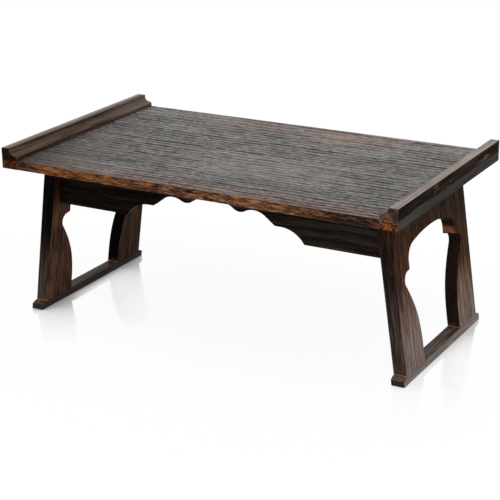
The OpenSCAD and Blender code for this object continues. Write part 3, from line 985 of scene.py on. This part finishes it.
class Look:
    """What a zone of colour may draw on: the place on the piece, the grain's coordinates, the
    rings, fibres and valleys of the wood and which way a face looks. The tone is set once they are
    known."""

    def __init__(self, tree, wood, fineness):
        seen = outs(add("ShaderNodeTexCoord", tree=tree))
        self.grain = made("ShaderNodeMapping", (seen["Object"], (0, 0, 0), wood.turn))
        self.x, self.y, self.z = parts_of(seen["Object"])
        self.rings = use_group(GROWTH, Vector=self.grain, Pith_Across=wood.pith[0],
                               Pith_Deep=wood.pith[1], Spacing=wood.spacing)
        self.fibre = use_group(FIBRES, Vector=self.grain, Fineness=fineness)
        self.facing = use_group(FACING, Place=seen["Object"], Normal=seen["Normal"])
        self.valley = attribute(tree, "valley")
        self.tone = None

    def to_left(self):
        """1 on the table's left, 0 on its right."""
        return step(self.x, 0.1, -0.1)

    def to_right(self):
        """1 on the table's right, 0 on its left."""
        return step(self.x, -0.1, 0.1)


def new_material(name):
    """A material with Blender's own shader node, and its tree."""
    material = bpy.data.materials.new(name)
    material.use_nodes = True
    tree = material.node_tree
    return material, tree, tree.nodes["Principled BSDF"]


def burnt_wood(name, wood, colours, rubbed, zones=None, wear=0.4, late=0.15, streak=0.5, ring=0.1,
               cloud=0.5, valley=0.35, pore=0.2, rough=(0.38, 0.62), specular=0.12, bump=0.2 * MM,
               fineness=1.0, grit=0.0):
    """Material of burnt, brushed wood. Its tone rises with the streaks and falls in valleys, late
    wood and pores, and picks a colour between char and the lightest fibres. late, streak, ring,
    cloud, valley, pore and grit say how much each counts. A zones function colours parts of the
    piece differently, and the arrises are rubbed through to a lighter colour, more of them as wear
    rises."""
    material, tree, shader = new_material(name)
    look = Look(tree, wood, fineness)
    tone = scaled(look.fibre["Streak"], streak, 0.5 - streak / 2 + (valley + late) * 0.35)
    tone = scaled(look.rings["Tone"] - 0.5, ring * 2, tone)
    tone = scaled(look.fibre["Cloud"] - 0.5, cloud, tone)
    tone = scaled(look.rings["Late"], -late, tone)
    tone = scaled(look.valley, -valley, tone)
    if grit:
        tone = scaled(look.fibre["Grit"] - 0.5, grit, tone)
    look.tone = scaled(look.fibre["Pore"], -pore, tone, clamp=True)
    colour = tones(look.tone, *colours)
    if zones:
        colour = zones(look, colour)
    wear_and_sheen = use_group(RUBBED, Vector=look.grain, Amount=wear)["Wear"]
    feed(shader.inputs["Base Color"], blend(wear_and_sheen * 0.8, colour, srgb(*rubbed)))
    rougher = look.valley * 0.6 + (1.0 - look.fibre["Streak"]) * 0.4
    feed(shader.inputs["Roughness"], step(rougher, 0.0, 1.0, *rough))
    feed(shader.inputs["Specular IOR Level"], specular)
    height = scaled(look.rings["Late"], 0.2, look.fibre["Streak"] * 0.5)
    height = scaled(look.fibre["Pore"], -0.5, height)
    feed(shader.inputs["Normal"],
         made("ShaderNodeBump", {"Strength": 0.8, "Distance": bump, "Height": height}))
    return material


def board_zones(look, colour):
    """The board's long edges are brushed through to orange-brown, mottled with dark dashes and
    darker to the right. The top reddens towards them, and the underside is plain and dark."""
    patches = grained(look.grain, (50, 340, 340))
    fade = (step(look.x, 0.12, 0.24, 0.0, 0.36) + step(look.x, -0.225, -0.265, 0.0, 0.36)
            + step(look.x, -0.11, -0.06, -0.04, 0.08) + step(look.x, 0.03, 0.09, 0.0, -0.13))
    mottle = scaled(look.fibre["Fleck"], 0.45, scaled(patches, 1.4, -0.37)) - fade
    mottle = scaled(look.fibre["Pore"], -0.3, mottle, clamp=True)
    flamed = tones(mottle, (20, 9, 4), (62, 36, 20), (104, 67, 42), (136, 90, 58), (176, 124, 82))
    warm = blend(1.0, flamed, srgb(252, 232, 196), "MULTIPLY")
    flamed = blend(step(look.x, 0.0, -0.14), flamed, warm)
    brown = tones(look.tone, (10, 7, 7), (48, 38, 35), (88, 72, 66), (118, 99, 92), (152, 132, 123))
    clouds = step(look.fibre["Cloud"], 0.40, 0.58)
    front = step(look.y, -0.118, -0.165)
    back = step(look.y, 0.08, 0.15) * step(look.x, -0.20, -0.06) * scaled(clouds, 0.45, 0.45)
    back = back * step(look.x, 0.10, 0.22, 1.0, 0.4)
    colour = blend(larger(larger(front, back), clouds * 0.25), colour, brown)
    colour = blend(front * 0.16, colour, srgb(30, 24, 22))
    colour = blend(back * 0.12, colour, srgb(196, 170, 156))
    # Painted sheen: a paler grey patch in the middle of the top
    middle = step(abs(look.x - 0.06), 0.19, 0.02) * step(abs(look.y + 0.05), 0.075, 0.01)
    colour = blend(middle * 0.16, colour, srgb(176, 168, 163))
    # Painted shade: the top darker towards the front left, where its sheen is weaker
    front_left_shade = step(look.x, -0.10, -0.27) * step(look.y, 0.11, -0.13)
    colour = blend(front_left_shade * 0.6, colour, srgb(26, 24, 23))
    colour = blend(look.facing["Down"] * 0.75, colour, srgb(20, 14, 11))
    return blend(look.facing["Side"], colour, flamed)


def end_grain(look, contrast, dulling, *colours):
    """End grain: bright flecks among dark pores, spotted evenly, in larger clouds. It is duller on
    the table's left."""
    spots = noise(look.grain, 640.0, detail=2)
    patches = noise(look.grain, 110.0, detail=2, rough=0.5)
    value = scaled(spots, contrast, scaled(patches, 1.1, -0.08 - contrast / 2), clamp=True)
    bright = tones(value, *colours)
    return blend(look.to_right(), blend(1.0, bright, srgb(*dulling), "MULTIPLY"), bright)


def batten_zones(look, colour):
    """A batten's end grain is orange with dark dots. Its outer face is plain grey."""
    outer = tones(look.tone, (36, 32, 30), (50, 46, 43), (62, 57, 54), (76, 70, 66))
    outer = blend(step(look.y, -0.15, -0.06) * 0.6, outer, srgb(28, 23, 20))
    colour = blend(look.facing["Out"], colour, outer)
    ends = end_grain(look, 2.2, (150, 140, 128),
                     (26, 12, 8), (66, 35, 22), (104, 61, 38), (150, 90, 50), (208, 138, 76))
    return blend(look.facing["Side"], colour, ends)


def rail_zones(look, colour):
    """A rail is pale on top, partly rubbed and partly a painted sheen, and dark outside, with long
    pointed black streaks and some orange spots. Its end grain is a dark red brown."""
    # Pale tops: rubbed wear, and a painted sheen on the up-facing crest
    rubbed_tops_and_sheen = tones(look.tone, (98, 90, 85), (128, 119, 114), (150, 142, 136), (172, 163, 157))
    shaded = look.to_left() * step(look.x, -0.295, -0.2925, 0.08, 0.55)
    rubbed_tops_and_sheen = blend(shaded, rubbed_tops_and_sheen, srgb(48, 40, 36))
    colour = blend(step(look.y, 0.02, 0.13) * 0.45, colour, srgb(124, 112, 102))
    crest = look.facing["Up"] * step(look.z, rail_high[2] - 2 * MM, rail_high[2] - MM)
    colour = blend(crest, colour, rubbed_tops_and_sheen)
    streaks = scaled(grained(look.grain, (11, 150, 150), rough=0.55), 3.2, -1.46)
    streaks = scaled(look.tone, 0.45, streaks)
    outer = tones(streaks, (3, 2, 2), (19, 13, 10), (46, 35, 27), (78, 60, 46))
    spots = step(grained(look.grain, (30, 130, 130), detail=2, rough=0.5), 0.60, 0.70)
    outer = blend(spots * 0.7, outer, srgb(112, 80, 50))
    browner = step(look.y, -0.03, 0.04, 0.08, 0.36) - step(look.y, 0.06, 0.12, 0.0, 0.24)
    outer = blend(browner, outer, srgb(58, 42, 30))
    colour = blend(look.facing["Out"], colour, outer)
    ends = end_grain(look, 1.0, (140, 126, 118),
                     (26, 17, 15), (54, 40, 35), (78, 60, 53), (104, 82, 72), (134, 104, 84))
    return blend(look.facing["Side"], colour, ends)


def leg_zones(look, colour):
    """A leg is darker towards its top, from char and from painted shade under the board, and
    lighter, a grey mauve, towards its foot, most on its outer face and in front: a painted sheen.
    Its edges are darker and greyer, darker towards the top in painted shade, blackest on the left
    leg and in the window. The left leg's inner face has painted shade by the apron and on the back
    post. The window's cusps carry a painted orange highlight, and a post stands on the foot rail
    with a pale line under an orange band."""
    behind = step(look.y, -0.05, 0.05)
    left = look.to_left()
    # Painted sheen: a paler grey mauve towards the foot, most on the outer face and in front
    wear_and_sheen = tones(look.tone, (74, 60, 56), (108, 92, 88), (132, 116, 111), (156, 137, 130))
    low = step(scaled(behind, 0.034, look.z), 0.155, 0.035)
    colour = blend(low * scaled(look.facing["Out"], 0.86, 0.06), colour, wear_and_sheen)
    # Darker towards the top of the outer face: char, and painted shade under the board's overhang
    char = step(look.z, 0.06, 0.20) * scaled(behind, 0.2, 0.55) * look.facing["Out"]
    colour = blend(char, colour, srgb(16, 8, 4))
    # Painted shade on the left leg's inner face: next to the apron at the top, and on the back post
    inner = larger(left * behind * 0.35, left * step(look.z, 0.14, 0.19, 0.0, 0.75))
    colour = blend(inner, colour, srgb(16, 10, 8))
    edges = tones(look.tone, (42, 34, 31), (60, 50, 46), (78, 67, 62), (98, 86, 79))
    # Edges darker towards the top: char, and painted shade under the board
    charred_and_shaded = tones(look.tone, (18, 11, 10), (32, 22, 18), (52, 37, 31), (78, 56, 46))
    edges = blend(step(look.z, 0.06, 0.18), edges, charred_and_shaded)
    black = tones(look.tone, (1, 1, 1), (4, 3, 2), (10, 6, 4), (24, 15, 10))
    edges = blend(left * step(look.z, 0.03, 0.13), edges, black)
    plain = ramp(look.fibre["Streak"], ((0.0, srgb(20, 13, 11)), (1.0, srgb(50, 38, 34))))
    edges = blend(look.facing["Inside"], edges, blend(left, plain, srgb(10, 6, 4)))
    colour = blend(look.facing["Side"], colour, edges)
    patches = step(grained(look.grain, (160, 150, 150)), 0.3, 0.6)
    tip = under_z - WIN_CUSP
    # Painted highlight: an orange patch on the window's cusps
    cusp = step(look.z, tip - 0.5 * MM, tip + 0.5 * MM) * step(look.z, tip + 12 * MM, tip + 5 * MM)
    cusp = cusp * patches * look.facing["Inside"]
    colour = blend(cusp * 0.85, colour, srgb(168, 104, 70))
    rise = look.z - foot_top
    band = step(rise, 1.5 * MM, 9 * MM, 0.8, 0.0) * patches * look.facing["Side"]
    colour = blend(band, colour, srgb(112, 62, 34))
    line = step(rise, 0.9 * MM, 1.7 * MM, 1.0, 0.0) * look.facing["Side"]
    return blend(line * 0.8, colour, srgb(206, 168, 138))


def apron_zones(look, colour):
    """An apron is darkest towards its left end and lighter towards its right end: painted shade by
    the left leg and painted light from the right.
    """
    # Painted light: lighter towards the right end, leaving painted shade towards the left
    right = tones(look.tone, (15, 12, 10), (33, 28, 24), (50, 43, 37), (70, 60, 52))
    return blend(step(look.x, -0.14, 0.06), colour, right)


def foot_zones(look, colour):
    """A foot rail is pale grey outside, a painted sheen like the legs' lower outer faces, and brown
    inside. Its top has orange patches, and on the right foot the chamfers are paler."""
    # Painted sheen: the outer face is a pale grey
    outer = tones(look.tone, (88, 80, 78), (108, 100, 98), (122, 114, 112), (138, 130, 127))
    inner = tones(look.tone, (22, 14, 10), (44, 31, 25), (62, 46, 38), (86, 66, 54))
    dark = tones(look.tone, (22, 18, 17), (42, 36, 35), (60, 52, 50), (84, 72, 66))
    spots = step(grained(look.grain, (40, 130, 130)), 0.54, 0.68)
    colour = blend(spots * 0.55, colour, srgb(140, 92, 58))
    colour = blend(look.facing["Side"], colour, dark)
    chamfer = step(abs(look.y), foot_high[1] - 9 * MM, foot_high[1] - 6 * MM)
    chamfer = chamfer * look.facing["Up"] * step(look.x, 0.0, 0.1)
    colour = blend(chamfer * 0.4, colour, srgb(132, 104, 94))
    sides = blend(look.facing["Out"], inner, outer)
    return blend(larger(look.facing["Up"], look.facing["Side"]), sides, colour)


def aged_metal(name, dark, light, rough):
    """Material of an aged hinge: brushed lines and dull clouds over warm steel."""
    material, tree, shader = new_material(name)
    seen = made("ShaderNodeTexCoord", output="Object", tree=tree)
    lines = grained(seen, (900, 60, 900))
    tone = lines * 0.35 + noise(seen, 160.0, detail=4) * 0.65
    feed(shader.inputs["Base Color"], ramp(tone, ((0.35, srgb(*dark)), (0.65, srgb(*light)))))
    feed(shader.inputs["Roughness"], step(tone, 0.3, 0.7, rough + 0.2, rough))
    feed(shader.inputs["Metallic"], 1.0)
    feed(shader.inputs["Normal"],
         made("ShaderNodeBump", {"Strength": 0.3, "Distance": 0.05 * MM, "Height": lines}))
    return material


RUBBED_BROWN = (132, 88, 52)
RUBBED_GREY = (96, 78, 66)
LEG_TONES = {
    "left": ((14, 8, 5), (42, 27, 19), (74, 50, 37), (102, 71, 51), (138, 98, 68)),
    "right": ((10, 5, 3), (36, 20, 12), (66, 39, 25), (98, 61, 36), (148, 98, 58)),
}

board_wood = burnt_wood(
    "board burnt wood", WOODS["board"],
    ((7, 7, 7), (40, 39, 38), (77, 76, 74), (103, 102, 100), (137, 135, 132)), RUBBED_BROWN,
    zones=board_zones, wear=0.2, valley=0.66, late=0.0, ring=0.05, streak=0.2, cloud=0.25,
    grit=0.36, specular=0.09)
batten_wood = burnt_wood(
    "batten burnt wood", WOODS["batten"],
    ((16, 12, 10), (46, 40, 36), (76, 68, 62), (104, 94, 84)), RUBBED_BROWN,
    zones=batten_zones, wear=0.2, valley=0.15, late=0.05, streak=0.3, specular=0.02)
rail_wood = burnt_wood(
    "rail burnt wood", WOODS["rail"],
    ((28, 19, 16), (50, 38, 33), (72, 58, 53), (92, 76, 66), (120, 90, 62)), RUBBED_BROWN,
    zones=rail_zones, wear=0.3, valley=0.2, late=0.05, streak=0.35, cloud=0.7, specular=0.005)
apron_wood = burnt_wood(
    "apron burnt wood", WOODS["apron"],
    ((4, 3, 2), (14, 10, 8), (27, 21, 17), (44, 35, 29)), RUBBED_GREY,
    zones=apron_zones, wear=0.1, specular=0.01)
leg_woods = {side: burnt_wood(
    side + " leg burnt wood", WOODS[side + "_leg"], LEG_TONES[side], RUBBED_BROWN,
    zones=leg_zones, wear=0.2, streak=0.9, late=0.1, specular=0.01, fineness=2.6) for side in ENDS}
foot_wood = burnt_wood(
    "foot burnt wood", WOODS["foot"],
    ((22, 15, 12), (48, 39, 34), (72, 62, 56), (96, 84, 76), (120, 104, 92)), RUBBED_BROWN,
    zones=foot_zones, wear=0.25, specular=0.05)
under_wood = burnt_wood(
    "underframe burnt wood", WOODS["under"],
    ((6, 4, 3), (20, 14, 11), (38, 28, 22), (60, 44, 34)), RUBBED_GREY, wear=0.1, specular=0.02)
block_wood = burnt_wood(
    "plain block wood", WOODS["apron"],
    ((92, 64, 40), (130, 96, 64), (158, 122, 86), (190, 152, 112)), (200, 165, 125),
    wear=0.1, rough=(0.55, 0.75), specular=0.3)
hinge_metal = aged_metal("aged hinge metal", (96, 82, 58), (168, 150, 112), 0.32)
screw_metal = aged_metal("screw metal", (110, 104, 92), (176, 170, 156), 0.3)

make_board(board_wood)
for side in ENDS:
    make_batten(side, batten_wood)
    make_rail(side, rail_wood)
    make_bearer(side, under_wood)
    make_foot(side, foot_wood)
    make_crown(side, leg_woods[side])
    for facing in FACINGS:
        make_post(side, facing, leg_woods[side])
for facing in FACINGS:
    make_apron(facing, apron_wood)

# The frame nodes that stay in view keep their shapes and get the finish of the last word here that
# their name holds
FINISHES = {"hinge_rail": under_wood, "blocks": block_wood, "dowels": block_wood,
            "leaf": hinge_metal, "pin": hinge_metal, "screws": screw_metal}
for node, obj in frame["nodes"].items():
    finish = [material for word, material in FINISHES.items() if word in node]
    if finish:
        obj.data.materials.clear()
        obj.data.materials.append(finish[-1])


# Stage, light and camera


WHITE = (1, 1, 1, 1)
# The floor: half its width, how far it lies below the feet, its colour as light, and its colour
# where it takes the shadow and how much of it is plain white instead
FLOOR_HALF = 30.0
FLOOR_BELOW = 0.02 * MM
FLOOR_LIT = (0.88, 0.88, 0.88, 1)
FLOOR_SHADED = (0.96, 0.965, 0.975, 1)
FLOOR_WHITE_SHARE = 0.93
# How near the feet the floor mirrors, how strongly, and how blurred
MIRROR_REACH = 0.16
MIRROR_SHARE = 1.5
MIRROR_BLUR = 0.12
# The surround's tint, its strength at the horizon and how much is added overhead
SKY_TINT = (1.0, 0.985, 0.965, 1)
SKY_HORIZON = 0.2
SKY_OVERHEAD = 1.15


def seen_share(tree):
    """1 for rays from the camera and for rays that a mirror or glass passes on, else 0."""
    rays = outs(add("ShaderNodeLightPath", tree=tree))
    return larger(larger(rays["Is Camera Ray"], rays["Is Glossy Ray"]), rays["Is Transmission Ray"])


def near_feet(tree):
    """How much stands close by a place on the floor: about half at the feet, falling to 0 at the
    mirror's reach from them. It is weakest at the right front."""
    open_sky = made("ShaderNodeAmbientOcclusion", {"Distance": MIRROR_REACH}, output="AO",
                    tree=tree, samples=4)
    x, y, _ = parts_of(made("ShaderNodeTexCoord", output="Object", tree=tree))
    return (1.0 - open_sky) * step(y - x, -0.42, -0.20, 0.35, 1.0)


def make_floor():
    """A wide pale floor just under the feet: a flat grid of four quads. To the camera it is mostly
    plain white, with a little of the shadow, and a faint mirror close to the feet. As light it is a
    dull white surface."""
    side = np.linspace(-FLOOR_HALF, FLOOR_HALF, num=3)
    x, y = np.meshgrid(side, side)
    points = np.stack([x.ravel(), y.ravel(), np.full(x.size, -FLOOR_BELOW)], 1)
    quads = grid_faces(len(side), len(side), start=0, wrap=False)
    floor = new_object("floor", points, quads.tolist())
    material, tree, _ = new_material("pale floor")
    tree.nodes.clear()
    lit = made("ShaderNodeBsdfDiffuse", {"Color": FLOOR_LIT}, tree=tree)
    shaded = made("ShaderNodeBsdfDiffuse", {"Color": FLOOR_SHADED}, tree=tree)
    mirror = made("ShaderNodeBsdfGlossy", {"Color": WHITE, "Roughness": MIRROR_BLUR}, tree=tree)
    white = made("ShaderNodeEmission", {"Color": WHITE, "Strength": 1.0}, tree=tree)
    plain = made("ShaderNodeMixShader", (FLOOR_WHITE_SHARE, shaded, white))
    share = calc("MULTIPLY", near_feet(tree), MIRROR_SHARE, clamp=True)
    shown = made("ShaderNodeMixShader", (share, plain, mirror))
    both = made("ShaderNodeMixShader", (seen_share(tree), lit, shown))
    add("ShaderNodeOutputMaterial", {"Surface": both})
    floor.data.materials.append(material)


def make_world():
    """Soft studio surround: white to the camera and in reflections. As light it is brightest
    overhead and falls off with the square of the height to a dim horizon."""
    world = bpy.data.worlds.new("studio")
    bpy.context.scene.world = world
    world.use_nodes = True
    tree = world.node_tree
    tree.nodes.clear()
    height = larger(parts_of(made("ShaderNodeTexCoord", output="Generated", tree=tree))[2], 0.0)
    strength = scaled(height * height, SKY_OVERHEAD, SKY_HORIZON)
    lit = made("ShaderNodeBackground", {"Color": SKY_TINT, "Strength": strength})
    shown = made("ShaderNodeBackground", {"Color": WHITE, "Strength": 1.0}, tree=tree)
    add("ShaderNodeOutputWorld", (made("ShaderNodeMixShader", (seen_share(tree), lit, shown)),))


def make_lamp(name, azimuth, elevation, strength, angle, colour):
    """A broad distant lamp that shines from this direction, in degrees."""
    data = bpy.data.lights.new(name, "SUN")
    data.energy = strength
    data.angle = math.radians(angle)
    data.color = colour
    lamp = bpy.data.objects.new(name, data)
    lamp.rotation_euler = (math.radians(90 - elevation), 0, math.radians(azimuth))
    bpy.context.scene.collection.objects.link(lamp)


# The camera's place round the table, and its focal length for a frame 500 wide
VIEW_AZIMUTH = math.radians(29.5)
VIEW_ELEVATION = math.radians(19.84)
VIEW_ROLL = math.radians(-0.73)
VIEW_DISTANCE = 2.1193
VIEW_AIM = np.array([-3.2 * MM, 0, 96.5 * MM])
FOCAL = 1486.2
FRAME_WIDTH = 500
SENSOR = 36.0


def make_camera():
    """The photograph's camera: on a sphere round the aim point, looking at it, with a slight
    roll."""
    across = np.array([math.cos(VIEW_AZIMUTH), math.sin(VIEW_AZIMUTH), 0])
    away = np.array([math.sin(VIEW_AZIMUTH) * math.cos(VIEW_ELEVATION),
                     -math.cos(VIEW_AZIMUTH) * math.cos(VIEW_ELEVATION), math.sin(VIEW_ELEVATION)])
    upright = np.cross(away, across)
    turn = np.eye(4)
    turn[:3, 0] = across * math.cos(VIEW_ROLL) + upright * math.sin(VIEW_ROLL)
    turn[:3, 1] = upright * math.cos(VIEW_ROLL) - across * math.sin(VIEW_ROLL)
    turn[:3, 2] = away
    turn[:3, 3] = VIEW_AIM + away * VIEW_DISTANCE
    data = bpy.data.cameras.new("camera")
    data.sensor_width = SENSOR
    data.lens = FOCAL / FRAME_WIDTH * SENSOR
    camera = bpy.data.objects.new("camera", data)
    camera.matrix_world = Matrix(turn.tolist())
    bpy.context.scene.collection.objects.link(camera)
    bpy.context.scene.camera = camera


make_floor()
make_world()
make_lamp("key", azimuth=62, elevation=68, strength=1.1, angle=50, colour=(1.0, 0.98, 0.95))
make_camera()
bpy.context.scene.view_settings.view_transform = "Standard"
